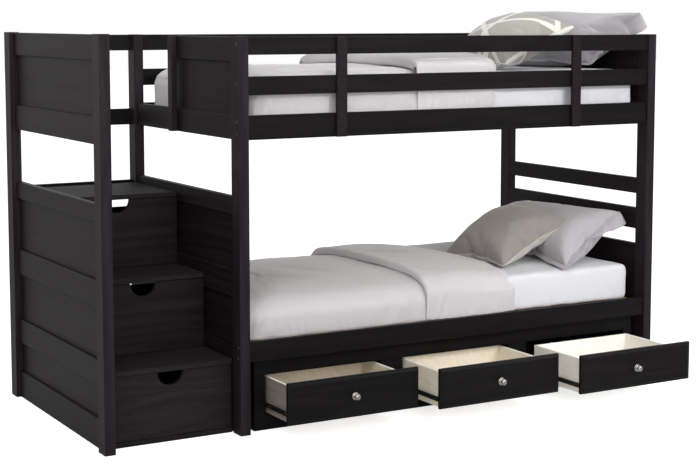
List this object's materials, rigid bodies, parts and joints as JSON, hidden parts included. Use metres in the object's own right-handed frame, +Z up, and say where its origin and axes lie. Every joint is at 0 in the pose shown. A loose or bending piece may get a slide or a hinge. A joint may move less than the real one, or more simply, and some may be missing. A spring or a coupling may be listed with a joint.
{
  "type": "bunk bed with staircase",
  "caption": "Dark wood bunk bed with a side staircase of drawer steps, guard rails, slatted bunks with bedding and a low chest of pull-out drawers under the lower bunk.",
  "frame": {"origin": "on the floor, at the middle of the box around the whole bed with its under-bed drawers standing part open", "axes": "+Z up, +X along the bed from the stairs to the headboard, +Y from the open front to the back"},
  "size_m": [2.547, 1.477, 1.578],
  "materials": {
    "espresso_wood": "satin espresso stain",
    "birch_ply": "clear lacquered",
    "slat_pine": "sanded, unfinished",
    "nickel": "satin nickel plate",
    "white_cotton": "woven sheet",
    "grey_quilt": "woven, padded",
    "lilac_cotton": "woven pillow case",
    "taupe_linen": "coarse weave",
    "sage_linen": "coarse weave, pale lattice"
  },
  "bodies": {
    "bed_frame": {"chest_divider_1": "espresso_wood", "chest_divider_2": "espresso_wood", "chest_end_left": "espresso_wood", "chest_end_right": "espresso_wood", "chest_face_frame": "espresso_wood", "entry_stile": "espresso_wood", "guard_mid_rail_front": "espresso_wood", "guard_mid_rail_rear": "espresso_wood", "guard_stile_left": "espresso_wood", "guard_stile_right": "espresso_wood", "guard_top_rail_front": "espresso_wood", "guard_top_rail_rear": "espresso_wood", "headboard_mid_rail": "espresso_wood", "headboard_panel": "espresso_wood", "headboard_top_rail": "espresso_wood", "left_end_guard": "espresso_wood", "left_end_panel": "espresso_wood", "lower_cushion": "taupe_linen", "lower_mattress": "white_cotton", "lower_pillow": "lilac_cotton", "lower_quilt": "grey_quilt", "lower_side_rail_front": "espresso_wood", "lower_side_rail_rear": "espresso_wood", "lower_slats": "slat_pine", "post_left_front": "espresso_wood", "post_left_rear": "espresso_wood", "post_right_front": "espresso_wood", "post_right_rear": "espresso_wood", "post_stair_front": "espresso_wood", "post_stair_rear": "espresso_wood", "right_end_guard": "espresso_wood", "stair_back_low_rail": "espresso_wood", "stair_back_mid_rail": "espresso_wood", "stair_back_top_rail": "espresso_wood", "stair_bottom_board": "espresso_wood", "stair_end_guard": "espresso_wood", "stair_end_panel": "espresso_wood", "stair_side_board": "espresso_wood", "tread_1": "espresso_wood", "tread_2": "espresso_wood", "tread_3": "espresso_wood", "upper_cushion": "sage_linen", "upper_mattress": "white_cotton", "upper_pillow": "lilac_cotton", "upper_quilt": "grey_quilt", "upper_side_rail_front": "espresso_wood", "upper_side_rail_rear": "espresso_wood", "upper_slats": "slat_pine"},
    "under_bed_drawer_1": {"drawer_front_1": "espresso_wood", "drawer_box_1": "birch_ply", "drawer_knob_1": "nickel"},
    "step_drawer_1": {"stair_drawer_1": "espresso_wood"},
    "under_bed_drawer_2": {"drawer_front_2": "espresso_wood", "drawer_box_2": "birch_ply", "drawer_knob_2": "nickel"},
    "step_drawer_2": {"stair_drawer_2": "espresso_wood"},
    "under_bed_drawer_3": {"drawer_front_3": "espresso_wood", "drawer_box_3": "birch_ply", "drawer_knob_3": "nickel"},
    "step_drawer_3": {"stair_drawer_3": "espresso_wood"}
  },
  "joints": [
    {"name": "under_bed_drawer_1_slide", "type": "slide", "parent": "bed_frame", "child": "under_bed_drawer_1", "axis": [0, -1, 0], "range_m": [-0.2235, 0.196]},
    {"name": "under_bed_drawer_2_slide", "type": "slide", "parent": "bed_frame", "child": "under_bed_drawer_2", "axis": [0, -1, 0], "range_m": [-0.3015, 0.118]},
    {"name": "under_bed_drawer_3_slide", "type": "slide", "parent": "bed_frame", "child": "under_bed_drawer_3", "axis": [0, -1, 0], "range_m": [-0.3835, 0.036]},
    {"name": "step_drawer_1_slide", "type": "slide", "parent": "bed_frame", "child": "step_drawer_1", "axis": [0, -1, 0], "range_m": [0, 0.33]},
    {"name": "step_drawer_2_slide", "type": "slide", "parent": "bed_frame", "child": "step_drawer_2", "axis": [0, -1, 0], "range_m": [0, 0.33]},
    {"name": "step_drawer_3_slide", "type": "slide", "parent": "bed_frame", "child": "step_drawer_3", "axis": [0, -1, 0], "range_m": [0, 0.33]}
  ]
}
